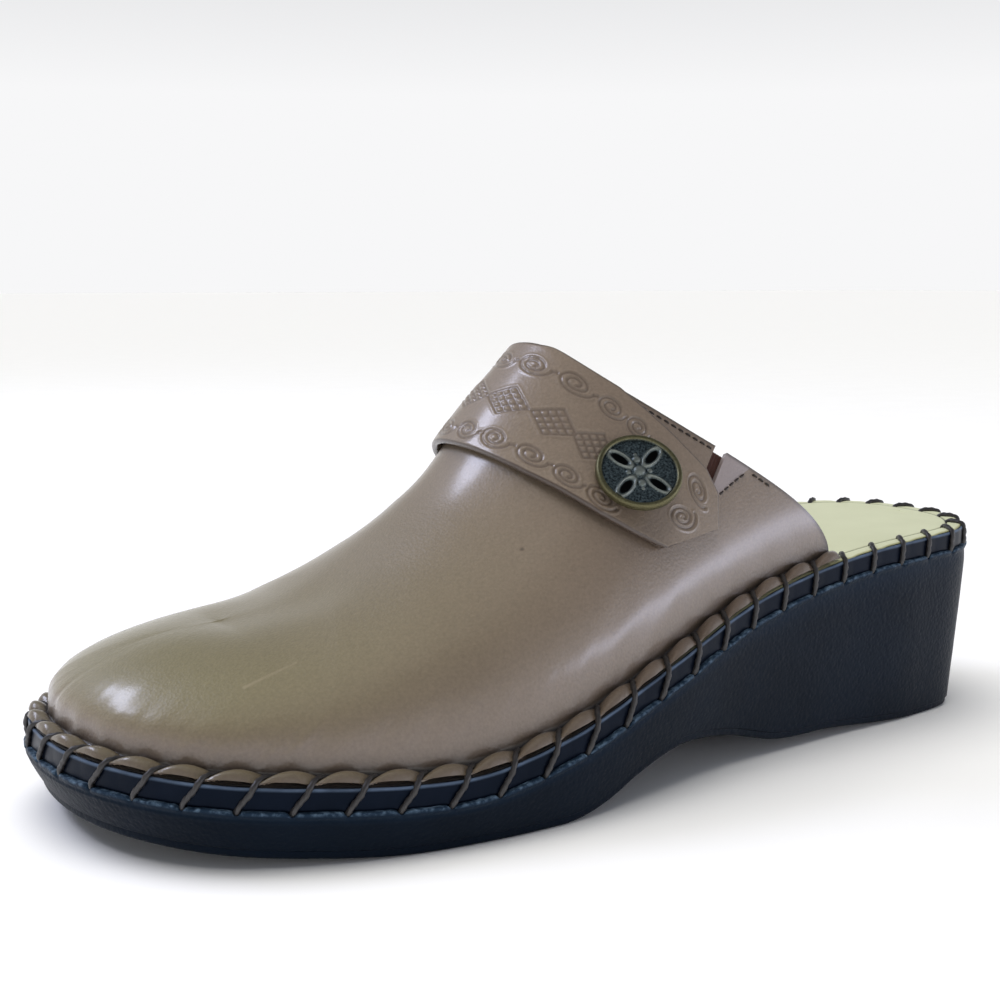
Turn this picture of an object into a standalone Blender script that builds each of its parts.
"""A leather mule for the left foot, closed over the toes and instep and open behind.

A moulded wedge sole carries a black midsole with a thin rim, a cream leather insole lies inside that rim,
and the upper is turned out at its foot and lies on the insole's edge, where the maker whips it down.
A stamped strap crosses the instep and is fastened on the outer side by a round pierced metal button,
over a slot with an elastic gore. +X points to the toe, +Y to the outer side of the foot, +Z up.
The origin is on the floor, in the middle of the sole's length and width.
"""

import math

import bmesh
import bpy
import numpy as np
from mathutils import Matrix, Vector
from mathutils.bvhtree import BVHTree

MM = 0.001
WELD = 0.02 * MM

# Driving sizes
SOLE_LENGTH = 255.0 * MM
BALL_WIDTH = 100.0 * MM
HEEL_HEIGHT = 49.2 * MM
FOREFOOT_HEIGHT = 14.8 * MM
TOE_SPRING = 5.7 * MM
ARCH_RISE = 10.1 * MM
HEEL_ROCKER = 2.6 * MM
GAP = 0.3 * MM

# Sole sizes
MIDSOLE_HEIGHT = 4.6 * MM
MIDSOLE_INSET = 0.9 * MM
RIM_WIDTH = 0.8 * MM
TREAD_THICKNESS = 1.8 * MM
TREAD_STEP = 0.5 * MM
EDGE_ROUND = 0.7 * MM
SIDE_TUCK = 1.6 * MM
HEEL_TUCK = 3.6 * MM
TOE_TUCK = 1.4 * MM

# Insole and upper sizes
INSOLE_THICKNESS = 1.8 * MM
INSOLE_PROUD = 0.4 * MM
LEATHER = 1.5 * MM
FLANGE_INSET = 1.1 * MM
FLANGE_WIDTH = 4.0 * MM
FLANGE_DROP = 0.6 * MM
INSTEP_HEIGHT = 99.6 * MM
TOE_CREST_HEIGHT = 39.8 * MM

# Strap, slot, gore and button sizes
STRAP_WIDTH = 32.0 * MM
STRAP_THICKNESS = 1.8 * MM
STRAP_GAP = 0.55 * MM
STRAP_LIFT = 0.4 * MM
SLOT_WIDTH = 3.2 * MM
SLOT_LENGTH = 20.0 * MM
CUTTER_SPARE = 4.0 * MM
CUTTER_DEPTH = 80.0 * MM
GORE_WIDTH = 14.0 * MM
GORE_THICKNESS = 1.0 * MM
COLLAR_MARGIN = 0.8 * MM
BUTTON_DIAMETER = 20.0 * MM
BUTTON_THICKNESS = 2.2 * MM
BUTTON_RIM = 1.6 * MM
BUTTON_FIELD_DROP = 0.8 * MM
BEAD_RISE = 0.6 * MM
PETAL_AT = 5.3 * MM
PETAL_HALF_LENGTH = 2.4 * MM
PETAL_HALF_WIDTH = 1.15 * MM
PETAL_DEPTH = 1.2 * MM

# The sole seen from above: share of the length from the heel, then the outer and inner
# half widths there as shares of the ball width
OUTLINE = (
    (0.012, 0.165, 0.165),
    (0.055, 0.293, 0.285),
    (0.130, 0.342, 0.330),
    (0.250, 0.370, 0.330),
    (0.380, 0.415, 0.320),
    (0.500, 0.493, 0.355),
    (0.620, 0.540, 0.430),
    (0.730, 0.535, 0.480),
    (0.830, 0.485, 0.475),
    (0.915, 0.390, 0.422),
    (0.967, 0.251, 0.316),
    (0.993, 0.100, 0.200),
)
TOE_TIP_SHIFT = -0.077  # share of the ball width

# Top of the midsole's rim: share of length, share of the heel's rise, share of the toe spring
FOOTBED = (
    (0.00, 1.000, 0.00),
    (0.08, 0.985, 0.00),
    (0.20, 0.942, 0.00),
    (0.35, 0.764, 0.00),
    (0.50, 0.427, 0.00),
    (0.62, 0.126, 0.00),
    (0.72, 0.000, 0.00),
    (0.85, 0.000, 0.35),
    (1.00, 0.000, 1.00),
)

# Underside of the sole: share of length, shares of the heel rocker, the arch and the toe spring
UNDERSIDE = (
    (0.000, 0.0, 0.00, 0.00),
    (0.130, 0.0, 0.00, 0.00),
    (0.200, 0.4, 0.00, 0.00),
    (0.280, 1.0, 0.00, 0.00),
    (0.345, 1.0, 0.12, 0.00),
    (0.410, 0.3, 0.75, 0.00),
    (0.470, 0.0, 1.00, 0.00),
    (0.535, 0.0, 0.62, 0.00),
    (0.570, 0.0, 0.25, 0.00),
    (0.620, 0.0, 0.00, 0.00),
    (0.740, 0.0, 0.00, 0.00),
    (0.860, 0.0, 0.00, 0.35),
    (1.000, 0.0, 0.00, 1.00),
)

# Side of the sole between the tread and its top edge: share of its height, share of its tuck
SOLE_SIDE = ((0.0, 1.00), (0.30, 0.62), (0.65, 0.24), (0.92, 0.0))

# The upper's ridge from the collar to the toe crest: share of the way, share of the rise from the
# toe crest to the instep, shift to the inner side as a share of the ball width, then the
# squareness of the cross section there and how far its top slopes down to the side
RIDGE = (
    (0.00, 1.000, 0.050, 1.95, 0.06),
    (0.17, 0.745, 0.052, 2.15, 0.08),
    (0.31, 0.513, 0.055, 2.45, 0.11),
    (0.52, 0.280, 0.060, 2.80, 0.19),
    (0.76, 0.078, 0.066, 3.00, 0.33),
    (1.00, 0.000, 0.056, 3.50, 0.36),
)
UPPER_BACK_AT = 0.258  # share of the sole's length, as for the next two
COLLAR_AT = 0.515
TOE_CREST_AT = 0.835
RIDGE_EVENNESS = 0.6
RIDGE_CROWDING = 1.3
RIDGE_SOFTNESS = 0.25
TOPLINE_BULGE = 0.30
TOPLINE_RUN = 1.31
INNER_FULLNESS = 0.3  # added share of squareness on the inner side at the collar
FLANGE_ROWS = ((1.0, 1.0), (0.85, 0.45), (0.65, 0.12), (0.33, 0.0))  # share of width, share of drop

# The strap's two long edges from the inner end to the outer tab. For each edge: degrees turned
# from straight up to the outer side, and place along the strap's axis as a share of its width
STRAP = (
    (-96, -0.50, -96, 0.42),
    (-60, -0.55, -60, 0.44),
    (0, -0.55, 0, 0.45),
    (42, -0.55, 42, 0.46),
    (76, -0.51, 70, 0.42),
    (96, -0.47, 80, 0.38),
    (103, -0.38, 86, 0.34),
    (107, -0.15, 91, 0.30),
)
STRAP_AXIS_AT = (0.463, -0.05, 1.26)  # shares of sole length, ball width and heel height
STRAP_SLOPE = 46.0  # degrees the strap's axis falls toward the toe
BUTTON_TURN = 74.6
BUTTON_PLACE = 0.03
BUTTON_TIP = 0.38  # upward lean of the button's face on its shank, so its lower side stands off
SLOT_TURN = 99.6

OUTLINE_STATIONS = 37
UPPER_STATIONS = 33
WALL_ROWS = 15
STRAP_STATIONS = 50  # seven steps for each row of the strap's table, so its corners stay sharp
STRAP_ROWS = 7
GORE_STATIONS = 9
GORE_ROWS = 13
BUTTON_STEPS = 40


def slopes(at, rows):
    """Slopes of a smooth curve that passes through the rows at the parameters in at."""
    step = np.diff(at)[:, None]
    chord = np.diff(rows, axis=0) / step
    inner = (chord[1:] * step[:-1] + chord[:-1] * step[1:]) / (step[1:] + step[:-1])
    return np.vstack([chord[:1], inner, chord[-1:]])


def along(at, rows, slope, where):
    """Points of the smooth curve at the parameters in where."""
    i = np.clip(np.searchsorted(at, where, side="right") - 1, 0, len(at) - 2)
    h = (at[i + 1] - at[i])[:, None]
    s = (where - at[i])[:, None] / h
    start = (2 * s**3 - 3 * s**2 + 1) * rows[i] + (s**3 - 2 * s**2 + s) * h * slope[i]
    return start + (3 * s**2 - 2 * s**3) * rows[i + 1] + (s**3 - s**2) * h * slope[i + 1]


def from_table(table, where):
    """The table's columns after the first, read smoothly at the shares in where, without overshoot."""
    rows = np.array(table, float)
    at, values = rows[:, 0], rows[:, 1:]
    slope = slopes(at, values)
    chord = np.diff(values, axis=0) / np.diff(at)[:, None]
    least = np.minimum(abs(chord[1:]), abs(chord[:-1]))
    turning = chord[1:] * chord[:-1] <= 0
    slope[1:-1] = np.where(turning, 0, np.sign(slope[1:-1]) * np.minimum(abs(slope[1:-1]), 3 * least))
    return along(at, values, slope, np.clip(np.atleast_1d(where), at[0], at[-1]))


def plan_curve():
    """The sole's plan outline as a fine closed polyline, from the heel round the outer side."""
    outer = [(share, side) for share, side, _ in OUTLINE]
    inner = [(share, -side) for share, _, side in reversed(OUTLINE)]
    points = np.array([(0, 0)] + outer + [(1, TOE_TIP_SHIFT)] + inner) * (SOLE_LENGTH, BALL_WIDTH)
    wrapped = np.vstack([points[-3:], points, points[:3]])
    reach = np.sqrt(np.linalg.norm(np.diff(wrapped, axis=0), axis=1))
    at = np.concatenate([[0], np.cumsum(reach)])
    fine = np.linspace(at[3], at[-3], 2400, endpoint=False)
    curve = along(at, wrapped, slopes(at, wrapped), fine)
    return curve - (curve.max(0) + curve.min(0)) / 2


def outward(curve):
    """Outward unit normals of a closed plan curve that runs from the heel round the outer side."""
    way = np.roll(curve, -1, axis=0) - np.roll(curve, 1, axis=0)
    way /= np.linalg.norm(way, axis=1)[:, None]
    return np.stack([-way[:, 1], way[:, 0]], axis=1)


PLAN = plan_curve()
PLAN_NORMALS = outward(PLAN)
HEEL_X, TOE_X = PLAN[:, 0].min(), PLAN[:, 0].max()
TIP = int(PLAN[:, 0].argmax())
HEEL_Y = PLAN[0, 1]


def at_x(curve, normals, x):
    """Points and normals of one side of a plan curve at the given x."""
    order = np.argsort(curve[:, 0])
    found = np.hstack([curve, normals])[order]
    point = np.column_stack([np.interp(x, found[:, 0], found[:, k]) for k in range(4)])
    facing = point[:, 2:] / np.linalg.norm(point[:, 2:], axis=1)[:, None]
    return point[:, :2], facing


def outline(inset):
    """A loop of points set in from the plan outline, in pairs across the sole, and its normals."""
    turn = np.linspace(0, math.pi, OUTLINE_STATIONS)
    x = (HEEL_X + TOE_X) / 2 - (TOE_X - HEEL_X) / 2 * np.cos(turn)
    outer, outer_facing = at_x(PLAN[: TIP + 1], PLAN_NORMALS[: TIP + 1], x)
    inner, inner_facing = at_x(PLAN[TIP:], PLAN_NORMALS[TIP:], x[-2:0:-1])
    loop, facing = np.vstack([outer, inner]), np.vstack([outer_facing, inner_facing])
    return loop - facing * np.reshape(inset, (-1, 1)), facing


def share_of_length(x):
    return (np.asarray(x) - HEEL_X) / SOLE_LENGTH


def footbed(x):
    """Height of the midsole's rim above the floor."""
    rise, spring = from_table(FOOTBED, share_of_length(x)).T
    return FOREFOOT_HEIGHT + (HEEL_HEIGHT - FOREFOOT_HEIGHT) * rise + TOE_SPRING * spring


def underside(x):
    """Height of the sole's underside above the floor."""
    rocker, arch, spring = from_table(UNDERSIDE, share_of_length(x)).T
    return HEEL_ROCKER * rocker + ARCH_RISE * arch + TOE_SPRING * spring


def sole_top(x):
    return footbed(x) - MIDSOLE_HEIGHT


def insole_top(x):
    return footbed(x) + INSOLE_PROUD


def flange_top(x):
    """Height of the upper's outer skin where it lies turned out on the insole."""
    return insole_top(x) + GAP + LEATHER


def ring(inset, height, up=0.0):
    """A loop set in from the outline, at the height function's value plus a constant."""
    loop = outline(inset)[0]
    return np.column_stack([loop, height(loop[:, 0]) + up])


def new_object(name, bm, look):
    mesh = bpy.data.meshes.new(name)
    bm.to_mesh(mesh)
    bm.free()
    thing = bpy.data.objects.new(name, mesh)
    thing.data.materials.append(look)
    shoe.objects.link(thing)
    return thing


def lofted(name, loops, look):
    """A closed solid through plan loops of equal count, with ladder caps across both ends."""
    bm = bmesh.new()
    rings = [[bm.verts.new(point) for point in loop] for loop in loops]
    count = len(loops[0])
    for low, high in zip(rings, rings[1:]):
        for k in range(count):
            bm.faces.new((low[k], low[k - 1], high[k - 1], high[k]))
    for end in (rings[0], rings[-1]):
        for k in range(count // 2):
            bm.faces.new(dict.fromkeys([end[k], end[k + 1], end[-k - 1], end[-k]]))
    bmesh.ops.recalc_face_normals(bm, faces=bm.faces)
    return new_object(name, bm, look)


def sheet(name, points, look):
    """An open surface through a grid of points, columns then rows, that faces out of the shoe."""
    bm = bmesh.new()
    grid = [[bm.verts.new(point) for point in column] for column in points]
    for left, right in zip(grid, grid[1:]):
        for j in range(len(left) - 1):
            bm.faces.new((left[j], right[j], right[j + 1], left[j + 1]))
    bmesh.ops.remove_doubles(bm, verts=bm.verts, dist=WELD)
    bm.normal_update()
    middle = Vector(STRAP_CENTRE)
    if sum(face.normal.dot(face.calc_center_median() - middle) * face.calc_area() for face in bm.faces) < 0:
        bmesh.ops.reverse_faces(bm, faces=bm.faces)
    return new_object(name, bm, look)


def sheet_normals(points):
    """Unit normals of a grid of points, on the side away from the strap's axis."""
    across = np.cross(np.gradient(points, axis=0), np.gradient(points, axis=1))
    across /= np.linalg.norm(across, axis=-1, keepdims=True)
    side = np.sign(((points - STRAP_CENTRE) * across).sum(-1, keepdims=True))
    return across * side


def apply_modifiers(thing):
    """Turn the object's modifiers into plain mesh."""
    graph = bpy.context.evaluated_depsgraph_get()
    graph.update()
    mesh = bpy.data.meshes.new_from_object(thing.evaluated_get(graph))
    thing.modifiers.clear()
    thing.data = mesh


def thicken(thing, thickness, offset):
    solid = thing.modifiers.new("leather thickness", "SOLIDIFY")
    solid.thickness = thickness
    solid.offset = offset
    solid.use_even_offset = True
    solid.use_quality_normals = True
    apply_modifiers(thing)


def cut(thing, cutter):
    boolean = thing.modifiers.new("cut out " + cutter.name, "BOOLEAN")
    boolean.operation = "DIFFERENCE"
    boolean.solver = "EXACT"
    boolean.object = cutter
    apply_modifiers(thing)


def into_cutters(thing):
    shoe.objects.unlink(thing)
    cutters.objects.link(thing)
    thing.hide_render = True
    thing.display_type = "WIRE"


def material(name, colour, roughness, metallic=0.0):
    look = bpy.data.materials.new(name)
    look.use_nodes = True
    surface = look.node_tree.nodes["Principled BSDF"]
    surface.inputs["Base Color"].default_value = (*colour, 1.0)
    surface.inputs["Roughness"].default_value = roughness
    surface.inputs["Metallic"].default_value = metallic
    return look


def make_outsole():
    _, facing = outline(0)
    backward, forward = np.clip(-facing[:, 0], 0, 1), np.clip(facing[:, 0], 0, 1)
    tuck = SIDE_TUCK + HEEL_TUCK * backward**2 + TOE_TUCK * forward**2
    tread = tuck + TREAD_STEP
    loops = [
        ring(tread + EDGE_ROUND, underside),
        ring(tread, underside, EDGE_ROUND),
        ring(tread, underside, TREAD_THICKNESS),
    ]
    for share, tucked in SOLE_SIDE:
        foot = ring(tuck * tucked, underside, TREAD_THICKNESS + GAP)
        top = ring(tuck * tucked, sole_top)
        loops.append(foot + (top - foot) * share)
    loops.append(ring(EDGE_ROUND, sole_top))
    return lofted("outsole", loops, black_rubber)


def make_midsole():
    recess = INSOLE_THICKNESS - INSOLE_PROUD + GAP
    loops = [
        ring(MIDSOLE_INSET, sole_top, GAP),
        ring(MIDSOLE_INSET, footbed, -EDGE_ROUND / 2),
        ring(MIDSOLE_INSET + EDGE_ROUND / 2, footbed),
        ring(MIDSOLE_INSET + RIM_WIDTH, footbed),
        ring(MIDSOLE_INSET + RIM_WIDTH, footbed, -recess),
    ]
    return lofted("midsole", loops, black_rand)


def make_insole():
    inset = MIDSOLE_INSET + RIM_WIDTH + GAP
    loops = [
        ring(inset, insole_top, -INSOLE_THICKNESS),
        ring(inset, insole_top, -EDGE_ROUND),
        ring(inset + EDGE_ROUND, insole_top),
    ]
    return lofted("insole", loops, cream_leather)


def crease_sides():
    """Points and normals of the crease between wall and flange, outer side then inner side,
    each from the back to the toe and at the same x."""
    crease = PLAN - PLAN_NORMALS * (FLANGE_INSET + FLANGE_WIDTH)
    tip = int(crease[:, 0].argmax())
    back = HEEL_X + UPPER_BACK_AT * SOLE_LENGTH
    outer = crease[: tip + 1][crease[: tip + 1, 0] >= back]
    reach = np.concatenate([[0], np.cumsum(np.linalg.norm(np.diff(outer, axis=0), axis=1))])
    x = np.interp(np.linspace(0, reach[-1], UPPER_STATIONS), reach, outer[:, 0])
    sides = [at_x(crease[: tip + 1], PLAN_NORMALS[: tip + 1], x), at_x(crease[tip:], PLAN_NORMALS[tip:], x)]
    return sides


def skin_side(foot, facing, fullness, rows=WALL_ROWS):
    """The upper's outer skin on one side: columns from the back to the toe, rows from crease to ridge."""
    back, tip = foot[0, 0], foot[-1, 0]
    way = (foot[:, 0] - back) / (tip - back)
    way = RIDGE_EVENNESS * way + (1 - RIDGE_EVENNESS) * (1 - np.sqrt(np.clip(1 - way, 0, 1)))
    rise, shift, square, slope = from_table(RIDGE, way).T
    low = flange_top(foot[:, 0])
    height = TOE_CREST_HEIGHT + (INSTEP_HEIGHT - TOE_CREST_HEIGHT) * rise - low
    ridge_x = HEEL_X + SOLE_LENGTH * (COLLAR_AT + (TOE_CREST_AT - COLLAR_AT) * way)
    ridge = np.column_stack([ridge_x, HEEL_Y - shift * BALL_WIDTH])
    turn = math.pi / 2 * (1 - np.linspace(1, 0, rows)[None, :] ** RIDGE_CROWDING)
    power = 2 / (square * (1 + fullness * (1 - way)))[:, None]
    across = np.clip(np.cos(turn), 0, 1) ** power
    fall = across**2 * (1 + RIDGE_SOFTNESS) / (across + RIDGE_SOFTNESS)
    up = np.sin(turn) ** power * (1 - slope[:, None] * fall)
    sideways = np.column_stack([-facing[:, 1], facing[:, 0]])
    out = ((foot - ridge) * facing).sum(1)[:, None] * across
    lean = (1 - up) ** TOPLINE_RUN * (1 + 4 * TOPLINE_BULGE * up * (1 - up))
    aside = ((foot - ridge) * sideways).sum(1)[:, None] * lean
    plan = ridge[:, None] + facing[:, None] * out[..., None] + sideways[:, None] * aside[..., None]
    return np.concatenate([plan, (low[:, None] + height[:, None] * up)[..., None]], axis=-1)


def upper_skin():
    """The upper's outer skin from the turned out flange's edge to the ridge, all the way round."""
    sides = []
    for (foot, facing), fullness in zip(crease_sides(), (0, INNER_FULLNESS)):
        flange = []
        for share, drop in FLANGE_ROWS:
            edge = foot + facing * FLANGE_WIDTH * share
            flange.append(np.column_stack([edge, flange_top(edge[:, 0]) - FLANGE_DROP * drop]))
        sides.append(np.concatenate([np.stack(flange, axis=1), skin_side(foot, facing, fullness)], axis=1))
    outer, inner = sides
    return np.concatenate([outer, inner[-2::-1]])


def make_upper():
    thicken(upper, LEATHER, -1)
    cut(upper, slot_cutter())


def strap_direction(turn):
    """Unit direction away from the strap's axis, turned in degrees from straight up to the outer side."""
    angle = math.radians(turn)
    return STRAP_UP * math.cos(angle) + np.array([0, 1, 0]) * math.sin(angle)


def skin_hit(turn, place):
    """Where the upper's skin is seen from the strap's axis, place being a share of the strap's width."""
    start = STRAP_CENTRE + STRAP_ALONG * place * STRAP_WIDTH
    return skin.ray_cast(Vector(start), Vector(strap_direction(turn)))[0]


def collar_place(turn):
    """Place of the collar's edge along the strap's axis, as a share of the strap's width."""
    inside, outside = 0.0, -1.5
    for _ in range(14):
        middle = (inside + outside) / 2
        if skin_hit(turn, middle) is None:
            outside = middle
        else:
            inside = middle
    return inside


def on_skin(turn, place):
    """The point of the upper's skin at a turn and place, kept inside the collar's edge."""
    if skin_hit(turn, place) is None:
        place = collar_place(turn) + COLLAR_MARGIN / STRAP_WIDTH
    return np.array(skin_hit(turn, place))


def slot_cutter():
    """A slanted box through the outer side of the upper, open at the collar's edge."""
    bpy.ops.mesh.primitive_cube_add(size=1.0)
    box = bpy.context.object
    box.name = "slot cutter"
    out = strap_direction(SLOT_TURN)
    side = np.cross(out, STRAP_ALONG)
    length = SLOT_LENGTH + CUTTER_SPARE
    start = collar_place(SLOT_TURN) * STRAP_WIDTH - CUTTER_SPARE
    middle = STRAP_CENTRE + STRAP_ALONG * (start + length / 2) + out * BALL_WIDTH / 2
    turned = Matrix(np.column_stack([STRAP_ALONG, side, out]).tolist()).to_4x4()
    size = Matrix.Diagonal((length, SLOT_WIDTH, CUTTER_DEPTH, 1))
    box.matrix_world = Matrix.Translation(middle) @ turned @ size
    box.data.transform(box.matrix_world)
    box.matrix_world = Matrix.Identity(4)
    for group in box.users_collection:
        group.objects.unlink(box)
    shoe.objects.link(box)
    into_cutters(box)
    return box


def make_strap():
    row = np.linspace(0, len(STRAP) - 1, STRAP_STATIONS)
    table = np.array(STRAP, float)
    stations = np.column_stack([np.interp(row, range(len(STRAP)), column) for column in table.T])
    points = []
    for rear_turn, rear, front_turn, front in stations:
        rear = max(rear, collar_place(rear_turn) + COLLAR_MARGIN / STRAP_WIDTH)
        column = []
        for share in np.linspace(0, 1, STRAP_ROWS):
            turn = rear_turn + (front_turn - rear_turn) * share
            column.append(on_skin(turn, rear + (front - rear) * share))
        points.append(column)
    points = np.array(points)
    lift = STRAP_GAP + STRAP_LIFT * np.linspace(0, 1, STRAP_ROWS) ** 2
    normals = sheet_normals(points)
    strap = sheet("strap", points + normals * lift[None, :, None], strap_leather)
    thicken(strap, STRAP_THICKNESS, 1)
    return strap


def make_gore():
    """An elastic sheet behind the slot, from just inside the collar's edge to past the slot's end."""
    reach = np.linalg.norm(on_skin(SLOT_TURN, 0) - STRAP_CENTRE)
    half = math.degrees(GORE_WIDTH / 2 / reach)
    columns = []
    for turn in np.linspace(SLOT_TURN - half, SLOT_TURN + half, GORE_STATIONS):
        rear = collar_place(turn) + COLLAR_MARGIN / STRAP_WIDTH
        front = rear + (SLOT_LENGTH + GORE_WIDTH / 2) / STRAP_WIDTH
        columns.append([on_skin(turn, place) for place in np.linspace(rear, front, GORE_ROWS)])
    points = np.array(columns)
    gore = sheet("gore", points - sheet_normals(points) * (LEATHER + GAP), brown_elastic)
    thicken(gore, GORE_THICKNESS, -1)
    return gore


def make_button():
    """A domed metal disc with a raised rim, a beaded middle and four petal openings."""
    radius = BUTTON_DIAMETER / 2
    face = BUTTON_THICKNESS - BUTTON_FIELD_DROP
    profile = [
        (0, 0),
        (radius - EDGE_ROUND, 0),
        (radius, EDGE_ROUND),
        (radius, BUTTON_THICKNESS - EDGE_ROUND),
        (radius - BUTTON_RIM / 3, BUTTON_THICKNESS),
        (radius - BUTTON_RIM * 2 / 3, BUTTON_THICKNESS),
        (radius - BUTTON_RIM, face),
        (radius / 3, face + BEAD_RISE / 2),
        (radius / 4, BUTTON_THICKNESS),
        (radius / 8, BUTTON_THICKNESS + BEAD_RISE * 0.8),
        (0, BUTTON_THICKNESS + BEAD_RISE),
    ]
    bm = bmesh.new()
    rim = [bm.verts.new((x, 0, z)) for x, z in profile]
    for a, b in zip(rim, rim[1:]):
        bm.edges.new((a, b))
    button = new_object("button", bm, old_brass)
    turned = button.modifiers.new("turned", "SCREW")
    turned.angle = 2 * math.pi
    turned.steps = turned.render_steps = BUTTON_STEPS
    turned.use_merge_vertices = True
    turned.merge_threshold = WELD
    turned.use_normal_calculate = True
    apply_modifiers(button)
    for quarter in range(4):
        cut(button, petal_cutter(quarter))
    seat_button(button)
    return button


def petal_cutter(quarter):
    """An upright oval plug for one of the four openings, which stops inside the button's thickness."""
    bpy.ops.mesh.primitive_cylinder_add(vertices=16, radius=1.0, depth=1.0)
    petal = bpy.context.object
    petal.name = "petal cutter"
    turn = Matrix.Rotation(math.radians(90 * quarter), 4, "Z")
    place = Matrix.Translation((PETAL_AT, 0, BUTTON_THICKNESS))
    size = Matrix.Diagonal((PETAL_HALF_LENGTH, PETAL_HALF_WIDTH, 2 * PETAL_DEPTH, 1))
    petal.data.transform(turn @ place @ size)
    for group in petal.users_collection:
        group.objects.unlink(petal)
    shoe.objects.link(petal)
    into_cutters(petal)
    return petal


def seat_button(button):
    """Lay the button on the strap's outer face, square to it and clear of it all over."""
    radius = BUTTON_DIAMETER / 2
    middle = on_skin(BUTTON_TURN, BUTTON_PLACE)
    degrees = math.degrees(radius / np.linalg.norm(middle - STRAP_CENTRE))
    places = BUTTON_PLACE + np.linspace(-1, 1, 5) * radius / STRAP_WIDTH
    turns = BUTTON_TURN + np.linspace(-1, 1, 5) * degrees
    under = np.array([[on_skin(turn, place) for place in places] for turn in turns])
    out = sheet_normals(under)[1:-1, 1:-1].mean((0, 1)) + STRAP_UP * BUTTON_TIP
    out /= np.linalg.norm(out)
    share = (BUTTON_PLACE - STRAP[2][1]) / (STRAP[2][3] - STRAP[2][1]) + radius / STRAP_WIDTH
    above = ((under - middle) @ out).max() + STRAP_GAP + STRAP_LIFT * share**2 + STRAP_THICKNESS + GAP
    along_strap = STRAP_ALONG - out * (STRAP_ALONG @ out)
    along_strap /= np.linalg.norm(along_strap)
    turned = Matrix(np.column_stack([along_strap, np.cross(out, along_strap), out]).tolist()).to_4x4()
    button.data.transform(Matrix.Translation(middle + out * above) @ turned)


# Empty scene, and the collections for the shoe and its cutters
for old in list(bpy.data.objects):
    bpy.data.objects.remove(old)
shoe = bpy.data.collections.new("leather mule")
cutters = bpy.data.collections.new("cutters")
for group in (shoe, cutters):
    bpy.context.scene.collection.children.link(group)

taupe_leather = material("taupe leather", (0.22, 0.155, 0.125), 0.38)
strap_leather = material("stamped strap leather", (0.23, 0.165, 0.13), 0.42)
cream_leather = material("cream insole leather", (0.62, 0.58, 0.38), 0.6)
black_rand = material("black rand", (0.018, 0.022, 0.032), 0.35)
black_rubber = material("moulded black polyurethane", (0.012, 0.014, 0.02), 0.5)
brown_elastic = material("brown elastic", (0.025, 0.012, 0.008), 0.8)
old_brass = material("antique brass", (0.22, 0.2, 0.13), 0.4, 1.0)

SLOPE = math.radians(STRAP_SLOPE)
STRAP_ALONG = np.array([math.cos(SLOPE), 0, -math.sin(SLOPE)])
STRAP_UP = np.array([math.sin(SLOPE), 0, math.cos(SLOPE)])
STRAP_CENTRE = np.array([
    HEEL_X + STRAP_AXIS_AT[0] * SOLE_LENGTH,
    HEEL_Y + STRAP_AXIS_AT[1] * BALL_WIDTH,
    STRAP_AXIS_AT[2] * HEEL_HEIGHT,
])

make_outsole()
make_midsole()
make_insole()
upper = sheet("upper", upper_skin(), taupe_leather)
skin = BVHTree.FromPolygons([v.co for v in upper.data.vertices], [f.vertices for f in upper.data.polygons])
make_upper()
make_gore()
make_strap()
make_button()
